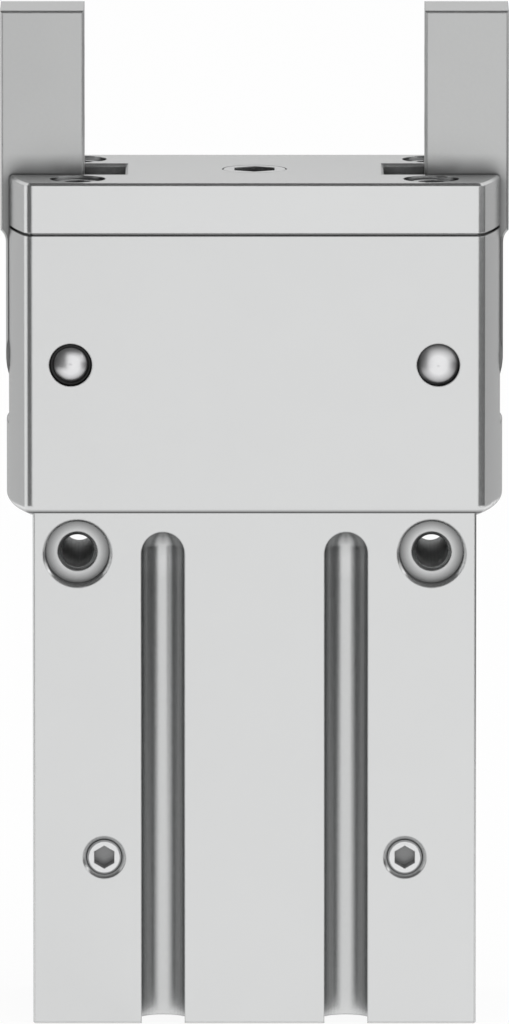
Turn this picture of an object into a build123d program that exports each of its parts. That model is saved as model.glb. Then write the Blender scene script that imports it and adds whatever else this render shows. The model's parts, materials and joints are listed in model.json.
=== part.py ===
import os
from math import acos, ceil, cos, pi, radians, sin, sqrt, tan

from build123d import *

os.makedirs("parts", exist_ok=True)

# A pneumatic radial gripper. One piston drives a double rack, and each side of the rack turns a
# toothed lever that swings outwards from upright to level.
# Sizes are in millimetres. X runs across the levers, the front is -Y, and +Z points at the finger
# ends. The origin is the centre of the bottom face, and the levers are drawn upright.

# Housing and cover
body_width = 44.2
body_depth = 23.4
body_height = 51.25
head_overhang = 0.3
head_width = 49.6
head_height = 28.1
head_side_radius = 35.8
head_corner_round = 0.95
head_lower_round = 1.0
edge_chamfer = 0.15
cover_thickness = 5.26
cover_edge_chamfer = 0.26
seam_height = 0.26
seam_depth = 0.5

# Levers and their pivots
pivot_spacing = 36.6
pivot_above_body = 15.15
lever_thickness = 8.7
lever_length = 34.6
lever_inner_offset = 1.3
lever_edge_chamfer = 0.2
finger_width = 8.35
finger_start = 12.6
finger_step_run = 1.2
finger_hole_radius = 1.25
finger_hole_pitch = 7.0
finger_hole_height = 26.1
lever_side_gap = 0.15
hub_floor_gap = 0.34
cover_slot_reach = 12.9
pin_radius = 2.125
pin_small_radius = 1.725
pin_dome_height = 0.5
bush_wall = 0.875
pin_ring_height = 1.3
pin_ring_depth = 0.35
pin_shoulder_gap = 0.1

# Travel of each lever from upright, in degrees
open_angle = 90
close_angle = 10

# Rack and toothed hubs
gear_module = 0.8
gear_teeth = 14
pressure_angle = 20
tooth_thinning = 0.08
pinion_addendum = 0.9
rack_addendum = 0.6
root_gap = 0.3
mesh_half_angle = 36
rack_margin_below = 3.4
rack_margin_above = 2.6
crosshead_side_gap = 0.2
crosshead_floor_gap = 0.6
cavity_side_gap = 0.9

# Cylinder and piston
bore_radius = 8.0
bore_mouth_chamfer = 0.4
piston_length = 8.0
piston_land = 1.2
seal_groove_height = 1.8
seal_groove_radius = 6.2
magnet_height = 1.6
magnet_inner_radius = 5.6
magnet_outer_radius = 7.6
groove_land = 0.7
guide_height = 1.2
guide_inner_radius = 7.0
rod_radius = 4.0
rod_lower_spigot_radius = 2.5
rod_upper_spigot_radius = 3.0
rod_upper_spigot_height = 4.0
piston_nut_flats = 8.0
piston_nut_height = 2.7
piston_nut_recess = 3.0
bumper_inner_radius = 4.4
bumper_outer_radius = 6.6
bumper_height = 1.7
bumper_gap = 0.15
retainer_thickness = 1.2
retainer_hole_radius = 4.3
rod_seal_radius = 6.0
rod_seal_height = 3.5
rod_bush_radius = 5.0
floor_thickness = 4.2
floor_hole_radius = 4.4

# End cap and its snap ring
snap_ring_height = 1.1
snap_ring_thickness = 1.0
snap_ring_groove_depth = 0.6
snap_ring_width = 1.3
snap_ring_lug_radius = 1.3
snap_ring_hole_radius = 0.6
snap_ring_opening = 5.0
end_cap_thickness = 4.0
end_cap_seal_height = 1.6
end_cap_seal_radius = 6.8
pull_hole_radius = 1.25
pull_hole_depth = 2.5

# Screws, dowels and the stop screw
cover_screw_inset_x = 7.2
cover_screw_inset_y = 3.8
cover_screw_head_radius = 2.25
cover_screw_head_height = 3.0
cover_screw_core_radius = 1.25
cover_screw_depth = 8.5
cover_screw_flats = 2.5
cover_screw_sunk = 0.3
counterbore_radius = 2.775
cover_clearance_radius = 1.6
dowel_offset_x = 10.0
dowel_radius = 1.0
dowel_depth = 3.0
stop_screw_radius = 3.22
stop_screw_flats = 4.0
stop_screw_gap = 0.1
crosshead_screw_head_radius = 3.5
crosshead_screw_head_height = 4.0
crosshead_screw_seat = 6.0
crosshead_screw_core_radius = 1.65
crosshead_screw_length = 15.0
crosshead_screw_flats = 3.0
hex_depth_share = 0.55

# Mounting holes and sensor slots
mount_inset = 4.45
mount_below_head = 3.82
mount_recess_radius = 3.2
mount_recess_depth = 1.7
mount_recess_chamfer = 0.25
mount_lead_radius = 2.0
mount_core_radius = 1.65
base_thread_depth = 8.0
slot_spacing = 18.26
slot_lip_width = 4.3
slot_round_radius = 2.45
slot_round_depth = 3.14
slot_end_below_head = 3.82

# Air ports and ducts
port_inset = 7.1
port_height = 16.8
port_radius = 2.1
port_depth = 6.5
port_chamfer = 0.4
cross_bore_radius = 1.75
plug_radius = 1.73
plug_face_radius = 1.55
plug_length = 4.0
plug_sunk = 0.15
plug_flats = 2.0
duct_radius = 0.8
duct_offset_y = 4.0
expander_radius = 1.1
expander_length = 1.8
expander_sunk = 0.5
expander_dish = 0.5

# Clearances
fixed_fit = 0.01
running_fit = 0.04
thread_fit = 0.02
seat_gap = 0.05

# Heights and places that follow from the sizes above
head_depth = body_depth + 2 * head_overhang
head_top = body_height + head_height
cover_top = head_top + cover_thickness
pivot_x = pivot_spacing / 2
pivot_height = body_height + pivot_above_body
pitch_radius = gear_module * gear_teeth / 2
tooth_pitch = pi * gear_module
tooth_thickness = tooth_pitch / 2 - tooth_thinning
base_radius = pitch_radius * cos(radians(pressure_angle))
hub_radius = pitch_radius + pinion_addendum
pinion_root_radius = pitch_radius - rack_addendum - root_gap
rack_pitch_x = pivot_x - pitch_radius
rack_root_x = rack_pitch_x - pinion_addendum - root_gap
rack_tip_x = rack_pitch_x + rack_addendum
open_travel = radians(open_angle) * pitch_radius
close_travel = radians(close_angle) * pitch_radius
lever_slot_width = lever_thickness + 2 * lever_side_gap
bush_radius = pin_radius + running_fit + bush_wall
hub_floor = pivot_height - hub_radius - hub_floor_gap
crosshead_bottom = pivot_height - open_travel - rack_margin_below
crosshead_top = pivot_height + rack_margin_above
cavity_floor = crosshead_bottom - close_travel - crosshead_floor_gap
cavity_half_width = rack_tip_x + cavity_side_gap
end_cap_bottom = snap_ring_height + snap_ring_thickness + seat_gap
end_cap_top = end_cap_bottom + end_cap_thickness
lower_bumper_top = end_cap_top + bumper_height
piston_bottom = lower_bumper_top + bumper_gap + close_travel
piston_top = piston_bottom + piston_length
upper_bumper_bottom = piston_top + open_travel + bumper_gap
retainer_bottom = upper_bumper_bottom + bumper_height
rod_seal_bottom = retainer_bottom + retainer_thickness
rod_bush_bottom = rod_seal_bottom + rod_seal_height
rod_bush_top = cavity_floor - floor_thickness
snap_groove_radius = bore_radius + snap_ring_groove_depth
mount_spacing = body_width - 2 * mount_inset
mount_height = body_height - mount_below_head
slot_end_height = body_height - slot_end_below_head
port_spacing = body_width - 2 * port_inset
duct_x = port_spacing / 2
lower_duct_height = end_cap_top + bumper_height / 2
upper_duct_height = upper_bumper_bottom + bumper_height / 2
cover_screw_head_top = cover_top - cover_screw_sunk
cover_screw_seat = cover_screw_head_top - cover_screw_head_height
cover_screw_x = head_width / 2 - cover_screw_inset_x
cover_screw_y = head_depth / 2 - cover_screw_inset_y
cover_screw_places = [(x * cover_screw_x, y * cover_screw_y) for x in (-1, 1) for y in (-1, 1)]
dowel_places = [(side * dowel_offset_x, side * cover_screw_y) for side in (-1, 1)]
piston_nut_seat = piston_bottom + piston_nut_recess
seal_groove_bottom = piston_bottom + piston_land
magnet_bottom = seal_groove_bottom + seal_groove_height + groove_land
guide_bottom = magnet_bottom + magnet_height + groove_land

# Planes: local y points up on the upright ones, and local z points out of the part on the faces
front_face = Plane((0, -body_depth / 2, 0), x_dir=(1, 0, 0), z_dir=(0, -1, 0))
pivot_plane = Plane((pivot_x, 0, pivot_height), x_dir=(1, 0, 0), z_dir=(0, -1, 0))


def head_outline(height, inset=0.0):
    """Plan of the head at a height: flat front and rear, swollen sides and rounded corners."""
    half_depth = head_depth / 2
    half_width = head_width / 2
    corner_x = half_width - head_side_radius + sqrt(head_side_radius**2 - half_depth**2)
    with BuildSketch(Plane.XY.offset(height)) as outline:
        with BuildLine():
            Line((-corner_x, -half_depth), (corner_x, -half_depth))
            ThreePointArc((corner_x, -half_depth), (half_width, 0), (corner_x, half_depth))
            Line((corner_x, half_depth), (-corner_x, half_depth))
            ThreePointArc((-corner_x, half_depth), (-half_width, 0), (-corner_x, -half_depth))
        make_face()
        fillet(outline.vertices(), head_corner_round)
        if inset > 0:
            offset(amount=-inset, mode=Mode.REPLACE)
    return outline.sketch


def turning_profile(plane, steps):
    """Half profile of a turned shape: its steps are (radius, distance along the axis) pairs."""
    with BuildSketch(plane) as profile:
        with BuildLine():
            Polyline((0, steps[0][1]), *steps, (0, steps[-1][1]), close=True)
        make_face()
    return profile.sketch


def upright_profile(x, y, steps):
    """Half profile of a shape that is turned about an upright axis at (x, y)."""
    return turning_profile(Plane((x, y, 0), x_dir=(1, 0, 0), z_dir=(0, -1, 0)), steps)


def level_profile(x, start_y, z, steps):
    """Half profile turned about an axis that runs to the rear from (x, start_y, z)."""
    return turning_profile(Plane((x, start_y, z), x_dir=(1, 0, 0), z_dir=(0, 0, 1)), steps)


def ring_outline(height, outer, inner):
    """Plan of a flat ring at a height."""
    with BuildSketch(Plane.XY.offset(height)) as outline:
        Circle(outer)
        Circle(inner, mode=Mode.SUBTRACT)
    return outline.sketch


def hexagon_outline(plane, flats):
    """Hexagon across its flats, with corners up and down on its plane."""
    with BuildSketch(plane) as outline:
        RegularPolygon(flats / 2, 6, major_radius=False, rotation=90)
    return outline.sketch


def polar(radius, angle):
    """Point at a radius and an angle in radians."""
    return (radius * cos(angle), radius * sin(angle))


def involute(pressure):
    """Involute function of an angle in radians."""
    return tan(pressure) - pressure


def gap_half_angle(radius):
    """Half the angle of the gap between two lever teeth, on or outside the base circle."""
    half_tooth = tooth_thickness / 2 / pitch_radius + involute(radians(pressure_angle))
    half_tooth = half_tooth - involute(acos(base_radius / radius))
    return pi / gear_teeth - half_tooth


def tooth_gap(centre_angle):
    """Outline of one gap between involute flanks, on the pivot plane of the right lever."""
    outer_radius = hub_radius + 0.1
    clear_radius = hub_radius + 1.0
    radii = (base_radius, (base_radius + outer_radius) / 2, outer_radius)
    left = [polar(radius, centre_angle + gap_half_angle(radius)) for radius in radii]
    right = [polar(radius, centre_angle - gap_half_angle(radius)) for radius in radii]
    root_angle = gap_half_angle(base_radius)
    outer_angle = gap_half_angle(outer_radius)
    with BuildSketch(pivot_plane) as gap:
        with BuildLine():
            ThreePointArc(left[0], left[1], left[2])
            Line(left[2], polar(clear_radius, centre_angle + outer_angle))
            Line(
                polar(clear_radius, centre_angle + outer_angle),
                polar(clear_radius, centre_angle - outer_angle),
            )
            Line(polar(clear_radius, centre_angle - outer_angle), right[2])
            ThreePointArc(right[2], right[1], right[0])
            Line(right[0], polar(pinion_root_radius, centre_angle - root_angle))
            ThreePointArc(
                polar(pinion_root_radius, centre_angle - root_angle),
                polar(pinion_root_radius, centre_angle),
                polar(pinion_root_radius, centre_angle + root_angle),
            )
            Line(polar(pinion_root_radius, centre_angle + root_angle), left[0])
        make_face()
    return gap.sketch


# Head of the housing, drawn apart so that its lower edge can be rounded
with BuildPart() as head_block:
    extrude(head_outline(body_height), amount=head_height)
    fillet(head_block.faces().sort_by(Axis.Z)[0].edges(), head_lower_round)

# Housing: cylinder, rack cavity, lever slots, ducts and mounting holes in one block
with BuildPart() as housing:
    with BuildSketch():
        Rectangle(body_width, body_depth)
    extrude(amount=body_height + head_lower_round)
    chamfer(housing.edges().filter_by(Axis.Z), edge_chamfer)
    chamfer(housing.faces().sort_by(Axis.Z)[0].edges(), edge_chamfer)
    add(head_block.part)

    # Rack cavity in the middle, and a lever slot that runs out of each side
    with BuildSketch(Plane.XZ) as cavity:
        with Locations((0, (cavity_floor + head_top) / 2)):
            Rectangle(2 * cavity_half_width, head_top - cavity_floor)
        with Locations((0, (hub_floor + head_top) / 2)):
            Rectangle(head_width + 2, head_top - hub_floor)
    extrude(amount=lever_slot_width / 2, both=True, mode=Mode.SUBTRACT)

    # Stepped cylinder bore with its snap ring groove
    bore_steps = [
        (bore_radius + bore_mouth_chamfer, 0),
        (bore_radius, bore_mouth_chamfer),
        (bore_radius, snap_ring_height),
        (snap_groove_radius, snap_ring_height),
        (snap_groove_radius, end_cap_bottom),
        (bore_radius, end_cap_bottom),
        (bore_radius, rod_seal_bottom),
        (rod_seal_radius, rod_seal_bottom),
        (rod_seal_radius, rod_bush_bottom),
        (rod_bush_radius, rod_bush_bottom),
        (rod_bush_radius, rod_bush_top),
        (floor_hole_radius, rod_bush_top),
        (floor_hole_radius, cavity_floor),
    ]
    revolve(upright_profile(0, 0, bore_steps), axis=Axis.Z, mode=Mode.SUBTRACT)

    # Pivot holes: the wide end is at the front on the right and at the rear on the left
    wide_end = (head_depth + lever_slot_width) / 2
    ring_seat = head_depth - pin_ring_depth - pin_ring_height
    pivot_steps = [
        (pin_radius + fixed_fit, 0),
        (pin_radius + fixed_fit, wide_end),
        (pin_small_radius + fixed_fit, wide_end),
        (pin_small_radius + fixed_fit, ring_seat),
        (pin_radius + fixed_fit, ring_seat),
        (pin_radius + fixed_fit, head_depth),
    ]
    mirrored_steps = [(radius, head_depth - distance) for radius, distance in reversed(pivot_steps)]
    for side, steps in ((1, pivot_steps), (-1, mirrored_steps)):
        pivot_axis = Axis((side * pivot_x, -head_depth / 2, pivot_height), (0, 1, 0))
        profile = level_profile(side * pivot_x, -head_depth / 2, pivot_height, steps)
        revolve(profile, axis=pivot_axis, mode=Mode.SUBTRACT)

    # Cover screw and dowel holes in the top of the head
    with Locations([(x, y, head_top) for x, y in cover_screw_places]):
        Hole(cover_screw_core_radius, depth=cover_screw_depth)
    with Locations([(x, y, head_top) for x, y in dowel_places]):
        Hole(dowel_radius + fixed_fit, depth=dowel_depth)

    # Mounting holes through the body, each with a centring recess at both ends
    lead_depth = mount_recess_depth + mount_lead_radius - mount_core_radius
    mount_steps = [
        (mount_recess_radius + mount_recess_chamfer, 0),
        (mount_recess_radius, mount_recess_chamfer),
        (mount_recess_radius, mount_recess_depth),
        (mount_lead_radius, mount_recess_depth),
        (mount_core_radius, lead_depth),
        (mount_core_radius, body_depth - lead_depth),
        (mount_lead_radius, body_depth - mount_recess_depth),
        (mount_recess_radius, body_depth - mount_recess_depth),
        (mount_recess_radius, body_depth - mount_recess_chamfer),
        (mount_recess_radius + mount_recess_chamfer, body_depth),
    ]
    # Cross bores: a plug thread at the front and an air port at the rear
    cross_bore_steps = [
        (cross_bore_radius + port_chamfer, 0),
        (cross_bore_radius, port_chamfer),
        (cross_bore_radius, body_depth - port_depth),
        (port_radius, body_depth - port_depth),
        (port_radius, body_depth - port_chamfer),
        (port_radius + port_chamfer, body_depth),
    ]
    for side in (-1, 1):
        mount_x = side * mount_spacing / 2
        profile = level_profile(mount_x, -body_depth / 2, mount_height, mount_steps)
        mount_axis = Axis((mount_x, 0, mount_height), (0, 1, 0))
        revolve(profile, axis=mount_axis, mode=Mode.SUBTRACT)
        port_x = side * port_spacing / 2
        profile = level_profile(port_x, -body_depth / 2, port_height, cross_bore_steps)
        port_axis = Axis((port_x, 0, port_height), (0, 1, 0))
        revolve(profile, axis=port_axis, mode=Mode.SUBTRACT)

    # Threaded holes in the bottom face
    with BuildSketch():
        with GridLocations(mount_spacing, 0, 2, 1):
            Circle(mount_core_radius)
    extrude(amount=base_thread_depth, mode=Mode.SUBTRACT)

    # Ducts: up or down from each cross bore, then level into the cylinder, closed where they start
    seat_depth = expander_sunk + expander_length + seat_gap
    for side, top in ((-1, upper_duct_height), (1, port_height)):
        with BuildSketch():
            with Locations((side * duct_x, duct_offset_y)):
                Circle(duct_radius)
        extrude(amount=top, mode=Mode.SUBTRACT)
        with BuildSketch():
            with Locations((side * duct_x, duct_offset_y)):
                Circle(expander_radius + fixed_fit)
        extrude(amount=seat_depth, mode=Mode.SUBTRACT)
    for side, height in ((-1, upper_duct_height), (1, lower_duct_height)):
        side_face = Plane((side * body_width / 2, duct_offset_y, height), z_dir=(side, 0, 0))
        with BuildSketch(side_face):
            Circle(duct_radius)
        duct_reach = body_width / 2 - sqrt(bore_radius**2 - duct_offset_y**2) + duct_radius
        extrude(amount=-duct_reach, mode=Mode.SUBTRACT)
        with BuildSketch(side_face):
            Circle(expander_radius + fixed_fit)
        extrude(amount=-seat_depth, mode=Mode.SUBTRACT)

    # Sensor slots in the front: a narrow lip over a round channel, with a ball shaped upper end
    slot_y = -body_depth / 2 + slot_round_depth
    with BuildSketch() as slots:
        with Locations((-slot_spacing / 2, slot_y), (slot_spacing / 2, slot_y)):
            Circle(slot_round_radius)
        with Locations((-slot_spacing / 2, slot_y), (slot_spacing / 2, slot_y)):
            Rectangle(slot_lip_width, slot_round_depth + 1, align=(Align.CENTER, Align.MAX))
    extrude(amount=slot_end_height, mode=Mode.SUBTRACT)
    with BuildSketch(front_face):
        with Locations((-slot_spacing / 2, slot_end_height), (slot_spacing / 2, slot_end_height)):
            Circle(slot_lip_width / 2)
    extrude(amount=-slot_round_depth, mode=Mode.SUBTRACT)
    with Locations(
        (-slot_spacing / 2, slot_y, slot_end_height),
        (slot_spacing / 2, slot_y, slot_end_height),
    ):
        Sphere(slot_round_radius, mode=Mode.SUBTRACT)

# Cover plate: a raised pad under it leaves the dark seam round the head
with BuildPart() as cover_plate:
    plate_thickness = cover_thickness - seam_height
    extrude(head_outline(head_top + seam_height), amount=plate_thickness)
    extrude(head_outline(head_top, seam_depth), amount=seam_height)
    slot_length = head_width / 2 + 1 - cover_slot_reach
    with BuildSketch(Plane.XY.offset(head_top)):
        with Locations((-cover_slot_reach, 0)):
            Rectangle(slot_length, lever_slot_width, align=(Align.MAX, Align.CENTER))
        with Locations((cover_slot_reach, 0)):
            Rectangle(slot_length, lever_slot_width, align=(Align.MIN, Align.CENTER))
    extrude(amount=cover_thickness, mode=Mode.SUBTRACT)
    chamfer(cover_plate.faces().sort_by(Axis.Z)[-1].edges(), cover_edge_chamfer)
    with Locations([(x, y, cover_top) for x, y in cover_screw_places]):
        CounterBoreHole(cover_clearance_radius, counterbore_radius, cover_top - cover_screw_seat)
    with Locations((0, 0, cover_top)):
        Hole(stop_screw_radius + thread_fit)
    with BuildSketch(Plane.XY.offset(head_top)):
        with Locations(dowel_places):
            Circle(dowel_radius + fixed_fit)
    extrude(amount=dowel_depth, mode=Mode.SUBTRACT)

# Four socket screws that hold the cover
with BuildPart() as cover_screws:
    head_chamfer = 0.25
    screw_steps = [
        (cover_screw_core_radius - thread_fit, cover_top - cover_thickness - cover_screw_depth + 1),
        (cover_screw_core_radius - thread_fit, cover_screw_seat),
        (cover_screw_head_radius, cover_screw_seat),
        (cover_screw_head_radius, cover_screw_head_top - head_chamfer),
        (cover_screw_head_radius - head_chamfer, cover_screw_head_top),
    ]
    for x, y in cover_screw_places:
        revolve(upright_profile(x, y, screw_steps), axis=Axis((x, y, 0), (0, 0, 1)))
    for x, y in cover_screw_places:
        socket = hexagon_outline(Plane((x, y, cover_screw_head_top)), cover_screw_flats)
        extrude(socket, amount=-hex_depth_share * cover_screw_head_height, mode=Mode.SUBTRACT)

# Two dowels that place the cover
with BuildPart() as cover_dowels:
    with BuildSketch(Plane.XY.offset(head_top - dowel_depth + seat_gap)):
        with Locations(dowel_places):
            Circle(dowel_radius)
    extrude(amount=2 * (dowel_depth - seat_gap))

# Stop screw in the middle of the cover, which limits how far the levers open
with BuildPart() as stop_screw:
    stop_screw_bottom = crosshead_top + open_travel + stop_screw_gap
    with BuildSketch(Plane.XY.offset(stop_screw_bottom)):
        Circle(stop_screw_radius)
    extrude(amount=cover_top - stop_screw_bottom)
    chamfer(stop_screw.faces().sort_by(Axis.Z)[-1].edges(), edge_chamfer)
    stop_socket = hexagon_outline(Plane((0, 0, cover_top)), stop_screw_flats)
    extrude(stop_socket, amount=-hex_depth_share * cover_thickness, mode=Mode.SUBTRACT)

# Right lever: finger, neck and a toothed hub that meshes with the rack
with BuildPart() as right_jaw:
    finger_outer = finger_width - lever_inner_offset
    with BuildSketch(pivot_plane):
        with BuildLine():
            Polyline(
                (hub_radius, 0),
                (-lever_inner_offset, 0),
                (-lever_inner_offset, lever_length),
                (finger_outer, lever_length),
                (finger_outer, finger_start),
            )
            TangentArc(
                (hub_radius, finger_start - finger_step_run),
                (finger_outer, finger_start),
                tangent=(0, 1),
            )
            Line((hub_radius, finger_start - finger_step_run), (hub_radius, 0))
        make_face()
    extrude(amount=lever_thickness / 2, both=True)
    lever_edges = right_jaw.edges().filter_by(lambda edge: edge.center().Z > pivot_height + 0.01)
    chamfer(lever_edges.filter_by(Axis.Y, reverse=True), lever_edge_chamfer)
    with BuildSketch(pivot_plane):
        Circle(hub_radius)
    extrude(amount=lever_thickness / 2, both=True)
    gap_angle = 2 * pi / gear_teeth
    gaps_above = ceil(radians(close_angle + mesh_half_angle) / gap_angle)
    gaps_below = ceil(radians(open_angle + mesh_half_angle) / gap_angle)
    for number in range(-gaps_above, gaps_below + 1):
        extrude(
            tooth_gap(pi + number * gap_angle),
            amount=lever_thickness / 2 + 1,
            both=True,
            mode=Mode.SUBTRACT,
        )
    with BuildSketch(pivot_plane):
        Circle(bush_radius + fixed_fit)
    extrude(amount=lever_thickness / 2 + 1, both=True, mode=Mode.SUBTRACT)
    finger_hole_z = pivot_height + finger_hole_height
    with BuildSketch(Plane.YZ.offset(pivot_x - lever_inner_offset)):
        with Locations((0, finger_hole_z)):
            with GridLocations(0, finger_hole_pitch, 1, 2):
                Circle(finger_hole_radius)
    extrude(amount=finger_width, mode=Mode.SUBTRACT)

# Left lever, the mirror image of the right one
with BuildPart() as left_jaw:
    mirror(right_jaw.part, about=Plane.YZ)

# Plain bearing bush pressed into each hub
with BuildPart() as right_bush:
    with BuildSketch(pivot_plane):
        Circle(bush_radius)
        Circle(pin_radius + running_fit, mode=Mode.SUBTRACT)
    extrude(amount=lever_thickness / 2, both=True)

with BuildPart() as left_bush:
    mirror(right_bush.part, about=Plane.YZ)

# Stepped pivot pin with domed ends, pressed in from the front on the right
with BuildPart() as right_pivot_pin:
    shoulder = wide_end - pin_shoulder_gap
    wide_dome = (pin_radius**2 + pin_dome_height**2) / (2 * pin_dome_height)
    small_dome = (pin_small_radius**2 + pin_dome_height**2) / (2 * pin_dome_height)
    with BuildSketch(Plane((pivot_x, -head_depth / 2, pivot_height))):
        with BuildLine():
            RadiusArc((0, 0), (pin_radius, pin_dome_height), -wide_dome)
            Line((pin_radius, pin_dome_height), (pin_radius, shoulder))
            Line((pin_radius, shoulder), (pin_small_radius, shoulder))
            Line((pin_small_radius, shoulder), (pin_small_radius, head_depth - pin_dome_height))
            RadiusArc(
                (pin_small_radius, head_depth - pin_dome_height), (0, head_depth), -small_dome
            )
            Line((0, head_depth), (0, 0))
        make_face()
    revolve(axis=Axis((pivot_x, 0, pivot_height), (0, 1, 0)))

with BuildPart() as left_pivot_pin:
    add(right_pivot_pin.part, rotation=(0, 0, 180))

# Rubber ring round the small end of each pin
with BuildPart() as right_pin_ring:
    ring_bottom = -head_depth / 2 + ring_seat + fixed_fit
    with BuildSketch(Plane((pivot_x, ring_bottom, pivot_height), x_dir=(1, 0, 0), z_dir=(0, 1, 0))):
        Circle(pin_radius)
        Circle(pin_small_radius + fixed_fit, mode=Mode.SUBTRACT)
    extrude(amount=pin_ring_height - fixed_fit)
    chamfer(right_pin_ring.faces().sort_by(Axis.Y)[-1].edges(), edge_chamfer)

with BuildPart() as left_pin_ring:
    add(right_pin_ring.part, rotation=(0, 0, 180))

# Piston with grooves for its seal, magnet and guide ring, and a recess for the nut
with BuildPart() as piston:
    piston_radius = bore_radius - running_fit - thread_fit
    piston_steps = [
        (piston_radius, piston_bottom),
        (piston_radius, seal_groove_bottom),
        (seal_groove_radius, seal_groove_bottom),
        (seal_groove_radius, seal_groove_bottom + seal_groove_height),
        (piston_radius, seal_groove_bottom + seal_groove_height),
        (piston_radius, magnet_bottom),
        (magnet_inner_radius, magnet_bottom),
        (magnet_inner_radius, magnet_bottom + magnet_height),
        (piston_radius, magnet_bottom + magnet_height),
        (piston_radius, guide_bottom),
        (guide_inner_radius, guide_bottom),
        (guide_inner_radius, guide_bottom + guide_height),
        (piston_radius, guide_bottom + guide_height),
        (piston_radius, piston_top),
    ]
    revolve(upright_profile(0, 0, piston_steps), axis=Axis.Z)
    nut_recess_radius = piston_nut_flats / sqrt(3) + bumper_gap
    with Locations(Location((0, 0, piston_bottom), (180, 0, 0))):
        CounterBoreHole(rod_lower_spigot_radius + fixed_fit, nut_recess_radius, piston_nut_recess)

# Rings in the piston grooves
with BuildPart() as piston_seal:
    seal_bottom = seal_groove_bottom + fixed_fit
    seal_ring = ring_outline(seal_bottom, bore_radius - running_fit, seal_groove_radius + fixed_fit)
    extrude(seal_ring, amount=seal_groove_height - 2 * fixed_fit)

with BuildPart() as piston_magnet:
    magnet_ring = ring_outline(
        magnet_bottom + fixed_fit, magnet_outer_radius, magnet_inner_radius + fixed_fit
    )
    extrude(magnet_ring, amount=magnet_height - 2 * fixed_fit)

with BuildPart() as piston_guide_ring:
    guide_ring = ring_outline(
        guide_bottom + fixed_fit, bore_radius - running_fit, guide_inner_radius + fixed_fit
    )
    extrude(guide_ring, amount=guide_height - 2 * fixed_fit)

# Nut that holds the piston on the rod
with BuildPart() as piston_nut:
    nut_outline = hexagon_outline(Plane.XY.offset(piston_nut_seat - fixed_fit), piston_nut_flats)
    extrude(nut_outline, amount=-piston_nut_height)
    Cylinder(rod_lower_spigot_radius + thread_fit, 4 * piston_top, mode=Mode.SUBTRACT)

# Piston rod with a spigot at each end and a threaded hole in its upper end
with BuildPart() as piston_rod:
    screw_tip = crosshead_top - crosshead_screw_seat - crosshead_screw_length
    spigot_top = crosshead_bottom + rod_upper_spigot_height
    rod_steps = [
        (rod_lower_spigot_radius, piston_nut_seat - piston_nut_height),
        (rod_lower_spigot_radius, piston_top + fixed_fit),
        (rod_radius, piston_top + fixed_fit),
        (rod_radius, crosshead_bottom - fixed_fit),
        (rod_upper_spigot_radius, crosshead_bottom - fixed_fit),
        (rod_upper_spigot_radius, spigot_top),
    ]
    revolve(upright_profile(0, 0, rod_steps), axis=Axis.Z)
    with Locations((0, 0, spigot_top)):
        Hole(crosshead_screw_core_radius + thread_fit, depth=spigot_top - screw_tip + 1)

# Crosshead with a rack down each side
with BuildPart() as rack_crosshead:
    slope = tan(radians(pressure_angle))
    tooth_root = tooth_thickness / 2 + (rack_pitch_x - rack_root_x) * slope
    tooth_tip = tooth_thickness / 2 - rack_addendum * slope
    teeth_room = pivot_height - crosshead_bottom - tooth_root
    with BuildSketch(Plane.XZ):
        with Locations((0, (crosshead_bottom + crosshead_top) / 2)):
            Rectangle(2 * rack_root_x, crosshead_top - crosshead_bottom)
        for side in (-1, 1):
            for number in range(int(teeth_room / tooth_pitch) + 1):
                tooth_z = pivot_height - number * tooth_pitch
                with BuildLine():
                    Polyline(
                        (side * (rack_root_x - root_gap), tooth_z - tooth_root),
                        (side * rack_root_x, tooth_z - tooth_root),
                        (side * rack_tip_x, tooth_z - tooth_tip),
                        (side * rack_tip_x, tooth_z + tooth_tip),
                        (side * rack_root_x, tooth_z + tooth_root),
                        (side * (rack_root_x - root_gap), tooth_z + tooth_root),
                        close=True,
                    )
                make_face()
    extrude(amount=lever_slot_width / 2 - crosshead_side_gap, both=True)
    with Locations((0, 0, crosshead_top)):
        CounterBoreHole(
            crosshead_screw_core_radius + seat_gap,
            crosshead_screw_head_radius + bumper_gap,
            crosshead_screw_seat,
        )
    with BuildSketch(Plane.XY.offset(crosshead_bottom)):
        Circle(rod_upper_spigot_radius + fixed_fit)
    extrude(amount=rod_upper_spigot_height + seat_gap, mode=Mode.SUBTRACT)

# Screw that holds the crosshead on the rod
with BuildPart() as crosshead_screw:
    seat = crosshead_top - crosshead_screw_seat + fixed_fit
    screw_steps = [
        (crosshead_screw_core_radius, seat - crosshead_screw_length),
        (crosshead_screw_core_radius, seat),
        (crosshead_screw_head_radius, seat),
        (crosshead_screw_head_radius, seat + crosshead_screw_head_height),
    ]
    revolve(upright_profile(0, 0, screw_steps), axis=Axis.Z)
    socket_plane = Plane((0, 0, seat + crosshead_screw_head_height))
    extrude(
        hexagon_outline(socket_plane, crosshead_screw_flats),
        amount=-hex_depth_share * crosshead_screw_head_height,
        mode=Mode.SUBTRACT,
    )

# Rod bush, rod seal and the disc that keeps the seal in
with BuildPart() as rod_bush:
    bush_ring = ring_outline(
        rod_bush_bottom + fixed_fit, rod_bush_radius - fixed_fit, rod_radius + running_fit
    )
    extrude(bush_ring, amount=rod_bush_top - rod_bush_bottom - 2 * fixed_fit)

with BuildPart() as rod_seal:
    rod_seal_ring = ring_outline(
        rod_seal_bottom + fixed_fit, rod_seal_radius - fixed_fit, rod_radius + running_fit
    )
    extrude(rod_seal_ring, amount=rod_seal_height - 2 * fixed_fit)

with BuildPart() as seal_retainer:
    retainer_ring = ring_outline(retainer_bottom, bore_radius - fixed_fit, retainer_hole_radius)
    extrude(retainer_ring, amount=retainer_thickness - fixed_fit)

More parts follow.
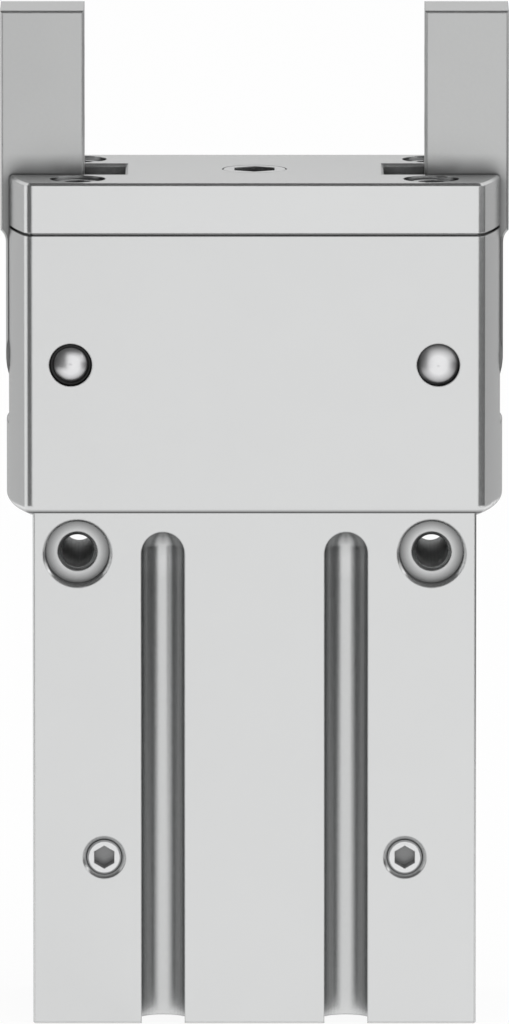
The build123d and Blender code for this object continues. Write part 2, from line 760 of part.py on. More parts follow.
# Rubber rings that cushion the piston at both ends
with BuildPart() as bumper_rings:
    for height in (end_cap_top + fixed_fit, upper_bumper_bottom):
        bumper_ring = ring_outline(height, bumper_outer_radius, bumper_inner_radius)
        extrude(bumper_ring, amount=bumper_height - fixed_fit)

# End cap with a seal groove and a pull thread in its outer face
with BuildPart() as end_cap:
    cap_radius = bore_radius - thread_fit
    cap_groove_bottom = end_cap_bottom + (end_cap_thickness - end_cap_seal_height) / 2
    cap_steps = [
        (cap_radius, end_cap_bottom),
        (cap_radius, cap_groove_bottom),
        (end_cap_seal_radius, cap_groove_bottom),
        (end_cap_seal_radius, cap_groove_bottom + end_cap_seal_height),
        (cap_radius, cap_groove_bottom + end_cap_seal_height),
        (cap_radius, end_cap_top),
    ]
    revolve(upright_profile(0, 0, cap_steps), axis=Axis.Z)
    with BuildSketch(Plane.XY.offset(end_cap_bottom)):
        Circle(pull_hole_radius)
    extrude(amount=pull_hole_depth, mode=Mode.SUBTRACT)

with BuildPart() as end_cap_seal:
    cap_seal_ring = ring_outline(
        cap_groove_bottom + fixed_fit, bore_radius - fixed_fit, end_cap_seal_radius + fixed_fit
    )
    extrude(cap_seal_ring, amount=end_cap_seal_height - 2 * fixed_fit)

# Snap ring with two eyed lugs at its opening
with BuildPart() as end_cap_snap_ring:
    ring_outer = snap_groove_radius - seat_gap
    lug_x = (snap_ring_opening + snap_ring_lug_radius) / 2
    lug_y = -sqrt((ring_outer - snap_ring_lug_radius) ** 2 - lug_x**2)
    with BuildSketch(Plane.XY.offset(snap_ring_height + seat_gap / 2)):
        Circle(ring_outer)
        Circle(ring_outer - snap_ring_width, mode=Mode.SUBTRACT)
        with Locations((0, -ring_outer)):
            Rectangle(snap_ring_opening, ring_outer, mode=Mode.SUBTRACT)
        with Locations((-lug_x, lug_y), (lug_x, lug_y)):
            Circle(snap_ring_lug_radius)
        with Locations((-lug_x, lug_y), (lug_x, lug_y)):
            Circle(snap_ring_hole_radius, mode=Mode.SUBTRACT)
    extrude(amount=snap_ring_thickness)

# Set screws that plug the front ends of the cross bores
with BuildPart() as port_plugs:
    plug_chamfer = plug_radius - plug_face_radius
    plug_steps = [
        (plug_face_radius, plug_sunk),
        (plug_radius, plug_sunk + plug_chamfer),
        (plug_radius, plug_sunk + plug_length),
    ]
    for side in (-1, 1):
        port_x = side * port_spacing / 2
        profile = level_profile(port_x, -body_depth / 2, port_height, plug_steps)
        revolve(profile, axis=Axis((port_x, 0, port_height), (0, 1, 0)))
    for side in (-1, 1):
        plug_face = Plane(
            (side * port_spacing / 2, -body_depth / 2 + plug_sunk, port_height),
            x_dir=(1, 0, 0),
            z_dir=(0, -1, 0),
        )
        plug_socket = hexagon_outline(plug_face, plug_flats)
        extrude(plug_socket, amount=-hex_depth_share * plug_length, mode=Mode.SUBTRACT)

# Dished expander plugs pressed into the open ends of the ducts
with BuildPart() as duct_plugs:
    expander_faces = [
        Plane((side * duct_x, duct_offset_y, expander_sunk), z_dir=(0, 0, -1)) for side in (-1, 1)
    ]
    for side, height in ((-1, upper_duct_height), (1, lower_duct_height)):
        expander_x = side * (body_width / 2 - expander_sunk)
        expander_faces.append(Plane((expander_x, duct_offset_y, height), z_dir=(side, 0, 0)))
    for expander_face in expander_faces:
        with BuildSketch(expander_face):
            Circle(expander_radius)
        extrude(amount=-expander_length)
    for expander_face in expander_faces:
        with BuildSketch(expander_face):
            Circle(expander_radius - expander_dish)
        extrude(amount=-expander_dish, mode=Mode.SUBTRACT)

# Names and files
pieces = {
    "housing": housing,
    "cover_plate": cover_plate,
    "cover_screws": cover_screws,
    "cover_dowels": cover_dowels,
    "stop_screw": stop_screw,
    "right_jaw": right_jaw,
    "left_jaw": left_jaw,
    "right_bush": right_bush,
    "left_bush": left_bush,
    "right_pivot_pin": right_pivot_pin,
    "left_pivot_pin": left_pivot_pin,
    "right_pin_ring": right_pin_ring,
    "left_pin_ring": left_pin_ring,
    "piston": piston,
    "piston_seal": piston_seal,
    "piston_magnet": piston_magnet,
    "piston_guide_ring": piston_guide_ring,
    "piston_nut": piston_nut,
    "piston_rod": piston_rod,
    "rack_crosshead": rack_crosshead,
    "crosshead_screw": crosshead_screw,
    "rod_bush": rod_bush,
    "rod_seal": rod_seal,
    "seal_retainer": seal_retainer,
    "bumper_rings": bumper_rings,
    "end_cap": end_cap,
    "end_cap_seal": end_cap_seal,
    "end_cap_snap_ring": end_cap_snap_ring,
    "port_plugs": port_plugs,
    "duct_plugs": duct_plugs,
}
for name, piece in pieces.items():
    piece.part.label = name
    export_step(piece.part, f"parts/{name}.step")
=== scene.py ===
import json
import math

import bpy
import numpy as np
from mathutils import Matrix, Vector


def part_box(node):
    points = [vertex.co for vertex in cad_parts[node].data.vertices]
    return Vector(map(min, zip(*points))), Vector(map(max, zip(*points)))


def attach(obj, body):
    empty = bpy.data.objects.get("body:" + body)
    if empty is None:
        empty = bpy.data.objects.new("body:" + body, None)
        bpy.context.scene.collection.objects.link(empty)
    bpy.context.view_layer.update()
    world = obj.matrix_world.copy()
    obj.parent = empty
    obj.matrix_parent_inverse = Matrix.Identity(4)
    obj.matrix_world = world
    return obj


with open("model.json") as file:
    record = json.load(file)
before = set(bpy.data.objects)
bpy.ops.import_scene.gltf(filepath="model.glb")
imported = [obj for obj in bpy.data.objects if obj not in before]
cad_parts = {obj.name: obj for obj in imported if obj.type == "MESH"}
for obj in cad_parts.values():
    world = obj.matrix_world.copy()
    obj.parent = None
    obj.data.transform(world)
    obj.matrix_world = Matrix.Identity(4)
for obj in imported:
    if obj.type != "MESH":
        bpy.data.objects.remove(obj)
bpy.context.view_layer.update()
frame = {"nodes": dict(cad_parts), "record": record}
print("frame loaded:", len(frame["nodes"]), "nodes")


def addPiece(name, points, faces):
    mesh = bpy.data.meshes.new(name)
    mesh.from_pydata(points, [], faces)
    piece = bpy.data.objects.new(name, mesh)
    bpy.context.scene.collection.objects.link(piece)
    return piece


def aimAlong(thing, direction):
    # A camera or a lamp looks along its own -Z
    thing.rotation_mode = "QUATERNION"
    thing.rotation_quaternion = direction.to_track_quat("-Z", "Y")


# Camera: the photograph looks at the front face from a little above, with a long lens
camera = {
    "lens": 700.0,           # mm
    "sensor": 36.0,          # mm, along the tall side of the picture
    "frameHeight": 0.10197,  # m, height of the view at the front face
    "elevation": 7.9,        # degrees above level
    "target": (0.0, -0.012, 0.05165),
    "nearest": 0.05,         # m
    "farthest": 20.0,
}


def makeCamera(values):
    data = bpy.data.cameras.new("camera")
    data.lens = values["lens"]
    data.sensor_width = values["sensor"]
    data.clip_start = values["nearest"]
    data.clip_end = values["farthest"]
    distance = values["frameHeight"] * values["lens"] / values["sensor"]
    tilt = math.radians(values["elevation"])
    back = Vector((0.0, -math.cos(tilt), math.sin(tilt)))
    eye = bpy.data.objects.new("camera", data)
    eye.location = Vector(values["target"]) + back * distance
    aimAlong(eye, -back)
    bpy.context.scene.collection.objects.link(eye)
    bpy.context.scene.camera = eye


makeCamera(camera)
print("camera placed")


# Node helpers. Each takes the node tree first; place is the piece's Object coordinates.
def newMaterial(name):
    material = bpy.data.materials.new(name)
    material.use_nodes = True
    material.node_tree.nodes.clear()
    return material, material.node_tree


def addNode(tree, kind, **values):
    node = tree.nodes.new(kind)
    for key, value in values.items():
        setattr(node, key, value)
    return node


def setInputs(node, **values):
    for key, value in values.items():
        node.inputs[key].default_value = value


def mathNode(tree, operation, first, second=None, clamp=False):
    node = addNode(tree, "ShaderNodeMath", operation=operation, use_clamp=clamp)
    for index, value in enumerate((first, second)):
        if value is None:
            continue
        if isinstance(value, (int, float)):
            node.inputs[index].default_value = value
        else:
            tree.links.new(value, node.inputs[index])
    return node.outputs[0]


def product(tree, first, second):
    return mathNode(tree, "MULTIPLY", first, second)


def mapRange(tree, value, low, high, newLow, newHigh):
    node = addNode(tree, "ShaderNodeMapRange")
    for index, number in enumerate((low, high, newLow, newHigh), start=1):
        node.inputs[index].default_value = number
    tree.links.new(value, node.inputs[0])
    return node.outputs[0]


def splitParts(tree, vector):
    node = addNode(tree, "ShaderNodeSeparateXYZ")
    tree.links.new(vector, node.inputs[0])
    return node.outputs


noiseRoughness = 0.6


def noise(tree, place, scale, detail, stretch=None):
    # The scale is in cells per metre
    if stretch is not None:
        mapping = addNode(tree, "ShaderNodeMapping")
        mapping.inputs["Scale"].default_value = stretch
        tree.links.new(place, mapping.inputs["Vector"])
        place = mapping.outputs["Vector"]
    node = addNode(tree, "ShaderNodeTexNoise")
    setInputs(node, Scale=scale, Detail=detail, Roughness=noiseRoughness)
    tree.links.new(place, node.inputs["Vector"])
    return node.outputs["Fac"]


def bumped(tree, height, distance, normal=None):
    node = addNode(tree, "ShaderNodeBump")
    setInputs(node, Strength=1.0, Distance=distance)
    tree.links.new(height, node.inputs["Height"])
    if normal is not None:
        tree.links.new(normal, node.inputs["Normal"])
    return node.outputs[0]


# Places that the shading and the threads share, from the record
mounts = {row["name"]: row for row in frame["record"]["mounts"]}
hinges = {row["name"]: row for row in frame["record"]["behaviour"]["joints"]}
mountX = mounts["body_bolts"]["dims"]["spacing_x_mm"] / 2000
mountZ = mounts["body_bolts"]["pos_m"][2]
slotX = mounts["right_sensor_slot"]["pos_m"][0]
pinX, _, pinZ = hinges["right_lever_swing"]["pos_m"]
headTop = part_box("housing")[1][2]
headFoot = 0.05150          # m, where the rounded foot of the head meets the body

# What every metal shares
metalRecipe = {
    "cloudDetail": 4.0,
    "cloudLimits": (0.25, 0.75),   # noise at the darkest and the lightest mottle
    "speckScale": 0.35,            # scale of the flecks, as a share of the grain's
    "speckDetail": 2.0,
    "speckLimits": (0.2, 0.8),     # noise at the darkest and the lightest fleck
    "fleckShare": 0.8,             # strength of the flecks, as a share of the mottle's
    "edgeSamples": 4,
    "edgeLimits": (0.85, 0.995),   # cosine between the face and its rounded normal: edge, no edge
    "patchLimits": (0.35, 0.6),    # mottle noise at the faintest and the full edge
    "patchStrength": (0.6, 1.0),
    "hollowSamples": 16,
    "wallLimits": (0.60, 0.93),    # Y part of the normal at a wall and at a floor of a hollow
    "insideLimits": (0.82, 0.97),  # openness inside and outside a hollow
    "lineMargin": 0.00002,         # m, a joint line stops this far behind its darkest height
    "grainDetail": 3.0,
    "lineDetail": 2.0,
}

# A metal has these values where its own dictionary names no others. Lengths are in metres.
plainMetal = {
    "metallic": 1.0,
    "mottle": 0.03, "mottleScale": 140.0,
    "grainScale": 9000.0, "grainHeight": 0.0000004, "roughSpread": 0.03,
    "lineScale": None, "lineStretch": None, "lineHeight": 0.0000015,
    "edgeRound": 0.00012, "edgeShade": -0.30,
    "hollowReach": 0.004, "hollowOpen": 1.0, "hollowPower": 1.8, "hollowFloor": 0.06,
    "ownHollows": False, "wallShade": None,
    "paintedRoundShade": None, "paintedSlotShade": None, "paintedJointLines": (),
}


def mottledShade(tree, cloud, speck, values):
    mottle = values["mottle"]
    fleck = mottle * metalRecipe["fleckShare"]
    cloudy = mapRange(tree, cloud, *metalRecipe["cloudLimits"], 1.0 - mottle, 1.0 + mottle)
    flecked = mapRange(tree, speck, *metalRecipe["speckLimits"], 1.0 - fleck, 1.0 + fleck)
    return product(tree, cloudy, flecked)


def paintedEdgeShade(tree, flat, rounded, cloud, values):
    # Painted shade on edges: nothing on a flat face, patchy and up to edgeShade where the rounded normal
    # leaves the face
    facing = addNode(tree, "ShaderNodeVectorMath", operation="DOT_PRODUCT")
    tree.links.new(rounded, facing.inputs[0])
    tree.links.new(flat, facing.inputs[1])
    edge = mapRange(tree, facing.outputs["Value"], *metalRecipe["edgeLimits"], 1.0, 0.0)
    patchy = mapRange(tree, cloud, *metalRecipe["patchLimits"], *metalRecipe["patchStrength"])
    return product(tree, product(tree, edge, patchy), values["edgeShade"])


def paintedHollowShade(tree, flat, values):
    # Painted shade: corners, holes and slots are darker the less of the surroundings they see within
    # hollowReach
    hollow = addNode(tree, "ShaderNodeAmbientOcclusion", samples=metalRecipe["hollowSamples"],
                     only_local=values["ownHollows"])
    hollow.inputs["Distance"].default_value = values["hollowReach"]
    openness = hollow.outputs["AO"]
    hollowDarkness = mapRange(tree, openness, 0.0, values["hollowOpen"], 0.0, 1.0)
    hollowDarkness = mathNode(tree, "POWER", hollowDarkness, values["hollowPower"])
    hollowDarkness = mapRange(tree, hollowDarkness, 0.0, 1.0, values["hollowFloor"], 1.0)
    if values["wallShade"] is None:
        return hollowDarkness
    # Painted shade: the walls of a hollow, which turn away from front and rear, are darker than its
    # floor
    turned = mathNode(tree, "ABSOLUTE", splitParts(tree, flat)["Y"])
    wall = mapRange(tree, turned, *metalRecipe["wallLimits"], 1.0 - values["wallShade"], 0.0)
    inside = mapRange(tree, openness, *metalRecipe["insideLimits"], 1.0, 0.0)
    wall = mathNode(tree, "SUBTRACT", 1.0, product(tree, wall, inside))
    return product(tree, hollowDarkness, wall)


def paintedRoundShade(tree, place, values):
    # Painted shade round a level axis on the left and on the right: 1 up to the radius inner, falling to
    # the share dark at the radius outer, and 1 again past it or nearer to the front or rear than face
    parts = splitParts(tree, place)
    side = mathNode(tree, "SUBTRACT", mathNode(tree, "ABSOLUTE", parts["X"]), values["side"])
    height = mathNode(tree, "SUBTRACT", parts["Z"], values["height"])
    square = mathNode(tree, "ADD", product(tree, side, side), product(tree, height, height))
    radius = mathNode(tree, "SQRT", square)
    change = mapRange(tree, radius, values["inner"], values["outer"], 0.0, 1.0 - values["dark"])
    depth = mathNode(tree, "ABSOLUTE", parts["Y"])
    sunk = mathNode(tree, "LESS_THAN", depth, values["face"])
    near = mathNode(tree, "LESS_THAN", radius, values["outer"] * values["margin"])
    return mathNode(tree, "SUBTRACT", 1.0, product(tree, change, product(tree, sunk, near)))


def paintedSlotShade(tree, place, values):
    # Painted shade towards the arched end of a sensor slot, most on its middle line, and painted light
    # below it
    parts = splitParts(tree, place)
    side = mathNode(tree, "SUBTRACT", mathNode(tree, "ABSOLUTE", parts["X"]), values["side"])
    side = mathNode(tree, "ABSOLUTE", side)
    middle = mapRange(tree, side, 0.0, values["reach"], 1.0, 0.0)
    fade = mapRange(tree, parts["Z"], values["start"], values["end"], 0.0, values["fade"])
    lift = mapRange(tree, parts["Z"], values["low"], values["start"], 0.0, values["lift"])
    change = mathNode(tree, "SUBTRACT", lift, product(tree, fade, middle))
    depth = mathNode(tree, "ABSOLUTE", parts["Y"])
    sunk = mathNode(tree, "LESS_THAN", depth, values["face"])
    near = mathNode(tree, "LESS_THAN", side, values["width"])
    return mathNode(tree, "ADD", product(tree, change, product(tree, sunk, near)), 1.0)


def paintedJointShade(tree, place, full, gone, darkest):
    # Painted shade along a level joint: the share darkest at the height full, 1 at the height gone and
    # beyond
    height = splitParts(tree, place)["Z"]
    margin = metalRecipe["lineMargin"]
    if full < gone:
        line = mapRange(tree, height, full, gone, darkest, 1.0)
        outside = mathNode(tree, "LESS_THAN", height, full - margin)
    else:
        line = mapRange(tree, height, gone, full, 1.0, darkest)
        outside = mathNode(tree, "GREATER_THAN", height, full + margin)
    return mathNode(tree, "MAXIMUM", line, outside)


def tinted(tree, colour, shade):
    tint = addNode(tree, "ShaderNodeMix", data_type="RGBA", blend_type="MULTIPLY")
    tint.inputs["Factor"].default_value = 1.0
    tint.inputs["A"].default_value = (*colour, 1.0)
    grey = addNode(tree, "ShaderNodeCombineColor")
    for channel in grey.inputs:
        tree.links.new(shade, channel)
    tree.links.new(grey.outputs[0], tint.inputs["B"])
    return tint.outputs["Result"]


# One recipe for every metal: a soft mottle in the colour, fine grain in roughness and bump, grinding
# lines where lineScale is set, edges found by a rounded normal, and painted shade on edges, in hollows,
# along joint lines and by place, with painted light where a metal asks for it
def metal(name, **ownValues):
    values = {**plainMetal, **ownValues}
    material, tree = newMaterial(name)
    output = addNode(tree, "ShaderNodeOutputMaterial")
    shader = addNode(tree, "ShaderNodeBsdfPrincipled")
    setInputs(shader, Metallic=values["metallic"])
    tree.links.new(shader.outputs[0], output.inputs["Surface"])

    place = addNode(tree, "ShaderNodeTexCoord").outputs["Object"]
    flat = addNode(tree, "ShaderNodeNewGeometry").outputs["True Normal"]
    bevel = addNode(tree, "ShaderNodeBevel", samples=metalRecipe["edgeSamples"])
    setInputs(bevel, Radius=values["edgeRound"])
    rounded = bevel.outputs[0]
    cloud = noise(tree, place, values["mottleScale"], metalRecipe["cloudDetail"])
    speckScale = values["grainScale"] * metalRecipe["speckScale"]
    speck = noise(tree, place, speckScale, metalRecipe["speckDetail"])

    shade = mottledShade(tree, cloud, speck, values)
    shade = mathNode(tree, "ADD", shade, paintedEdgeShade(tree, flat, rounded, cloud, values))
    shade = product(tree, shade, paintedHollowShade(tree, flat, values))
    if values["paintedRoundShade"] is not None:
        shade = product(tree, shade, paintedRoundShade(tree, place, values["paintedRoundShade"]))
    if values["paintedSlotShade"] is not None:
        shade = product(tree, shade, paintedSlotShade(tree, place, values["paintedSlotShade"]))
    for line in values["paintedJointLines"]:
        shade = product(tree, shade, paintedJointShade(tree, place, **line))
    tree.links.new(tinted(tree, values["colour"], shade), shader.inputs["Base Color"])

    smoothest = values["roughness"] - values["roughSpread"]
    roughest = values["roughness"] + values["roughSpread"]
    rough = mapRange(tree, speck, *metalRecipe["speckLimits"], smoothest, roughest)
    tree.links.new(rough, shader.inputs["Roughness"])

    grain = noise(tree, place, values["grainScale"], metalRecipe["grainDetail"])
    normal = bumped(tree, grain, values["grainHeight"], rounded)
    if values["lineScale"] is not None:
        stretch = values["lineStretch"]
        lines = noise(tree, place, values["lineScale"], metalRecipe["lineDetail"], stretch)
        normal = bumped(tree, lines, values["lineHeight"], normal)
    tree.links.new(normal, shader.inputs["Normal"])
    return material


aluminium = {
    "colour": (0.710, 0.716, 0.716), "roughness": 0.24, "mottle": 0.008,
    "edgeRound": 0.0002, "edgeShade": -0.60,
    "hollowOpen": 0.82, "hollowPower": 1.1, "hollowFloor": 0.22, "ownHollows": True,
    "wallShade": 0.52,
    # Painted shade in the recess of a mounting hole, darker towards its wall
    "paintedRoundShade": {
        "side": mountX, "height": mountZ, "inner": 0.0020, "outer": 0.0032, "dark": 0.42,
        "face": 0.0114, "margin": 1.03,
    },
    # Painted shade at the arched ends of the sensor slots, and painted light below them
    "paintedSlotShade": {
        "side": slotX, "width": 0.0026, "reach": 0.0013, "face": 0.0115,
        "low": 0.0440, "start": 0.0474, "end": 0.0485, "lift": 0.20, "fade": 0.75,
    },
    # Painted shade along the foot of the head and in the seam under the cover
    "paintedJointLines": [
        {"full": headFoot, "gone": headFoot + 0.0004, "darkest": 0.12},
        {"full": headTop, "gone": headTop - 0.00012, "darkest": 0.15},
    ],
}
coverAluminium = {
    "colour": (0.727, 0.733, 0.733), "roughness": 0.24, "mottle": 0.008,
    "hollowReach": 0.003, "hollowPower": 0.9,
}
leverSteel = {
    "colour": (0.545, 0.550, 0.548), "roughness": 0.31, "roughSpread": 0.02,
    "mottle": 0.02, "mottleScale": 90.0,
    "lineScale": 2500.0, "lineStretch": (1.0, 1.0, 0.04), "lineHeight": 0.0000005,
    "edgeRound": 0.0002, "edgeShade": -0.45, "hollowReach": 0.0022, "hollowPower": 2.2,
}
polishedSteel = {
    "colour": (0.86, 0.86, 0.87), "roughness": 0.31, "roughSpread": 0.02, "mottle": 0.02,
    "lineScale": 5000.0, "lineStretch": (1.0, 0.1, 1.0), "lineHeight": 0.0000002,
    "edgeRound": 0.0002, "edgeShade": -0.5, "hollowPower": 0.6,
    # Painted shade on the domed end of a pivot pin, in place of its dark reflection, darker towards its
    # rim
    "paintedRoundShade": {
        "side": pinX, "height": pinZ, "inner": 0.0009, "outer": 0.0021, "dark": 0.30,
        "face": 0.02, "margin": 1.03,
    },
}
screwSteel = {
    "colour": (0.78, 0.785, 0.79), "roughness": 0.23, "grainHeight": 0.000001, "hollowPower": 0.8,
}
# The thread is darker than the metal it is cut in: painted shade for the inside of a hole
threadMetal = {
    "colour": (0.52, 0.525, 0.525), "roughness": 0.60, "roughSpread": 0.02, "mottle": 0.02,
    "edgeShade": 0.0, "hollowOpen": 0.4, "hollowPower": 1.0,
    "hollowFloor": 1.8,     # above 1, painted light that keeps the thread bright deep in its hole
}
springSteel = {"colour": (0.07, 0.068, 0.066), "roughness": 0.36, "mottle": 0.06}
bronze = {"colour": (0.62, 0.43, 0.22), "roughness": 0.38, "mottle": 0.06, "mottleScale": 500.0}
magnetGrey = {"colour": (0.13, 0.13, 0.135), "roughness": 0.55, "mottle": 0.10, "metallic": 0.4}

# Rubber and plastic: dark and matt, with fine grain in the bump and faint dusty patches
softRecipe = {
    "patchScale": 900.0, "patchDetail": 4.0,
    "dustLimits": (0.4, 0.7),      # noise at clean and at dusty places
    "dustShare": 0.15,             # of the way to white in the dustiest place, times the dust
    "roughLimits": (0.3, 0.7),
    "roughSpread": 0.08,
    "grainScale": 6000.0, "grainDetail": 3.0, "grainHeight": 0.000006,
}
blackRubber = {"colour": (0.004, 0.004, 0.004), "roughness": 0.5, "dust": 0.05}
guidePlastic = {"colour": (0.26, 0.17, 0.10), "roughness": 0.45, "dust": 0.25}


def softMaterial(name, colour, roughness, dust):
    recipe = softRecipe
    material, tree = newMaterial(name)
    output = addNode(tree, "ShaderNodeOutputMaterial")
    shader = addNode(tree, "ShaderNodeBsdfPrincipled")
    tree.links.new(shader.outputs[0], output.inputs["Surface"])
    place = addNode(tree, "ShaderNodeTexCoord").outputs["Object"]
    patches = noise(tree, place, recipe["patchScale"], recipe["patchDetail"])

    dusty = [part + (1.0 - part) * dust * recipe["dustShare"] for part in colour]
    blend = addNode(tree, "ShaderNodeMix", data_type="RGBA")
    blend.inputs["A"].default_value = (*colour, 1.0)
    blend.inputs["B"].default_value = (*dusty, 1.0)
    amount = mapRange(tree, patches, *recipe["dustLimits"], 0.0, 1.0)
    tree.links.new(amount, blend.inputs["Factor"])
    tree.links.new(blend.outputs["Result"], shader.inputs["Base Color"])

    smoothest, roughest = roughness - recipe["roughSpread"], roughness + recipe["roughSpread"]
    rough = mapRange(tree, patches, *recipe["roughLimits"], smoothest, roughest)
    tree.links.new(rough, shader.inputs["Roughness"])
    grain = noise(tree, place, recipe["grainScale"], recipe["grainDetail"])
    tree.links.new(bumped(tree, grain, recipe["grainHeight"]), shader.inputs["Normal"])
    return material


finishes = {
    "anodised_aluminium": metal("anodisedAluminium", **aluminium),
    "cover_aluminium": metal("coverAluminium", **coverAluminium),
    "lever_steel": metal("leverSteel", **leverSteel),
    "polished_steel": metal("polishedSteel", **polishedSteel),
    "screw_steel": metal("screwSteel", **screwSteel),
    "thread": metal("tappedThread", **threadMetal),
    "spring_steel": metal("springSteel", **springSteel),
    "bronze": metal("bronze", **bronze),
    "magnet": metal("magnetGrey", **magnetGrey),
    "black_rubber": softMaterial("blackRubber", **blackRubber),
    "guide_plastic": softMaterial("guidePlastic", **guidePlastic),
}

slotOfNode = {row["node"]: row["material_slot"] for row in frame["record"]["subparts"]}
for nodeName, piece in frame["nodes"].items():
    finish = finishes["cover_aluminium" if nodeName == "cover_plate" else slotOfNode[nodeName]]
    piece.data.materials.clear()
    piece.data.materials.append(finish)
print("materials assigned:", len(finishes))


# Threads: a ridge wound inside each tapped hole. A kind of hole has the place where its thread
# starts, from the middle or from the base, its pitch and its length, all in metres.
threads = {
    "steps": 28,        # sections in one turn
    "sink": 0.00004,    # m, feet of the ridge behind the wall
    "rise": 0.00005,    # m, crest of the ridge in front of the wall
    "crest": 0.18,      # width of the flat crest, as a share of the pitch
    "foot": 0.86,       # width of the ridge at its feet, as a share of the pitch
    "mounting": {"start": 0.0100, "pitch": 0.0007, "length": 0.0094},
    "base": {"start": 0.0004, "pitch": 0.0007, "length": 0.0072},
    "port": {"start": 0.0113, "pitch": 0.0008, "length": 0.0055},
    "finger": {"start": 0.0251, "pitch": 0.0005, "length": 0.0076},
}


def boltHoles():
    # The two mounting holes have threads from the front and from the rear, the two in the base one each
    wall = mounts["body_bolts"]["dims"]["hole_r_mm"] / 1000
    for side in (-1, 1):
        for face in (-1, 1):
            mouth = (side * mountX, face * threads["mounting"]["start"], mountZ)
            yield "mounting", mouth, (0, -face, 0), wall
    wall = mounts["base_threads"]["dims"]["hole_r_mm"] / 1000
    for side in (-1, 1):
        yield "base", (side * mountX, 0.0, threads["base"]["start"]), (0, 0, 1), wall


def portHoles():
    for name in ("left_air_port", "right_air_port"):
        x, _, z = mounts[name]["pos_m"]
        wall = mounts[name]["dims"]["r_mm"] / 1000
        yield "port", (x, threads["port"]["start"], z), (0, -1, 0), wall


def fingerHoles(name, side):
    dims = mounts[name]["dims"]
    for step in (-1, 1):
        height = mounts[name]["pos_m"][2] + step * dims["spacing_y_mm"] / 2000
        mouth = (side * threads["finger"]["start"], 0.0, height)
        yield "finger", mouth, (-side, 0, 0), dims["hole_r_mm"] / 1000


def threadRidge(kind, mouth, inwards, wall):
    # Along the helix the angle grows with t, one turn for each 1 of t, and the place along the hole
    # is start + pitch * (t + 0.5). Round the ridge's closed profile of four points the radius is
    # wall + sink at its two feet and wall - rise at its crest.
    pitch = threads[kind]["pitch"]
    mouth, inwards = np.array(mouth, float), np.array(inwards, float)
    across = np.roll(inwards, -1)
    up = np.cross(inwards, across)
    turns = threads[kind]["length"] / pitch
    count = int(turns * threads["steps"]) + 1
    t = np.linspace(0.0, turns, count)[:, None]
    outer, inner = wall + threads["sink"], wall - threads["rise"]
    radius = np.array([outer, inner, inner, outer])
    half, flat = threads["foot"] / 2, threads["crest"] / 2
    shift = pitch * np.array([-half, -flat, flat, half])
    angle = 2 * np.pi * t
    around = np.cos(angle)[..., None] * across + np.sin(angle)[..., None] * up
    along = (pitch * (t + 0.5) + shift)[..., None] * inwards
    points = mouth + radius[:, None] * around + along

    sides = len(radius)
    ring = np.arange(count - 1)[:, None] * sides
    corner = np.arange(sides)
    after = (corner + 1) % sides
    quads = np.stack([ring + corner, ring + after, ring + sides + after, ring + sides + corner], axis=-1)
    ends = [corner[::-1], (count - 1) * sides + corner]
    return points.reshape(-1, 3), np.concatenate([quads.reshape(-1, sides), ends])


def faceOutwards(mesh):
    # The signed volume is the sum over the faces of centre . normal * area; below zero means inside out
    size = len(mesh.polygons)
    centre, normal, area = np.empty(size * 3), np.empty(size * 3), np.empty(size)
    mesh.polygons.foreach_get("center", centre)
    mesh.polygons.foreach_get("normal", normal)
    mesh.polygons.foreach_get("area", area)
    if (centre.reshape(-1, 3) * normal.reshape(-1, 3)).sum(axis=1) @ area < 0:
        mesh.flip_normals()


def makeThreads(name, row):
    points, faces, count = [], [], 0
    for hole in row["holes"]:
        ridge, quads = threadRidge(*hole)
        points.append(ridge)
        faces.append(quads + count)
        count += len(ridge)
    piece = addPiece(name, np.concatenate(points).tolist(), np.concatenate(faces).tolist())
    faceOutwards(piece.data)
    piece.data.materials.append(finishes["thread"])
    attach(piece, row["body"])


tappedHoles = {
    "mountThreads": {
        "body": "housing", "slot": "anodised_aluminium", "holes": boltHoles(),
    },
    "portThreads": {
        "body": "housing", "slot": "anodised_aluminium", "holes": portHoles(),
    },
    "rightFingerThreads": {
        "body": "right_lever", "slot": "lever_steel", "holes": fingerHoles("right_finger_holes", 1),
    },
    "leftFingerThreads": {
        "body": "left_lever", "slot": "lever_steel", "holes": fingerHoles("left_finger_holes", -1),
    },
}
for threadName, row in tappedHoles.items():
    makeThreads(threadName, row)
print("threads cut:", len(tappedHoles))


# Studio
studio = {
    "floorReach": 3.0,
    "floorGap": 0.00002,    # m, so that the floor and the base never share a plane
    "floorColour": (0.88, 0.88, 0.88, 1.0),
    "floorWhite": 0.92,     # share of plain white in the floor where it is seen
    "ceilingSide": 0.60,
    "ceilingFront": -0.50,
    "ceilingBack": 0.06,
    "ceilingHeight": 0.42,
    "ceilingGrey": 0.12,
    "cardSteps": 24,
    "fillStrength": 0.93,
    "keySize": 1.0,
    "keyPower": 4.0,
    "keyPlace": (0.9, -0.5, 0.95),
    "keyTarget": (0.0, 0.0, 0.05),
}

# Cards round the object. Angles are degrees from the camera's side, positive to the right.
studioCards = {
    "frontLeftCard": {"angles": (-70, -20), "radius": 0.20, "heights": (0.001, 0.40), "grey": 0.15},
    "rightCard": {"angles": (33, 130), "radius": 0.21, "heights": (0.001, 0.075), "grey": 0.15},
    "backLowRightCard": {"angles": (131, 180), "radius": 0.22, "heights": (0.001, 0.07), "grey": 0.49},
    "backLowLeftCard": {"angles": (180, 240), "radius": 0.22, "heights": (0.001, 0.07), "grey": 0.53},
    "backHighCard": {"angles": (120, 240), "radius": 0.22, "heights": (0.07, 0.118), "grey": 0.51},
    "backTopCard": {"angles": (120, 240), "radius": 0.22, "heights": (0.118, 0.40), "grey": 0.80},
}


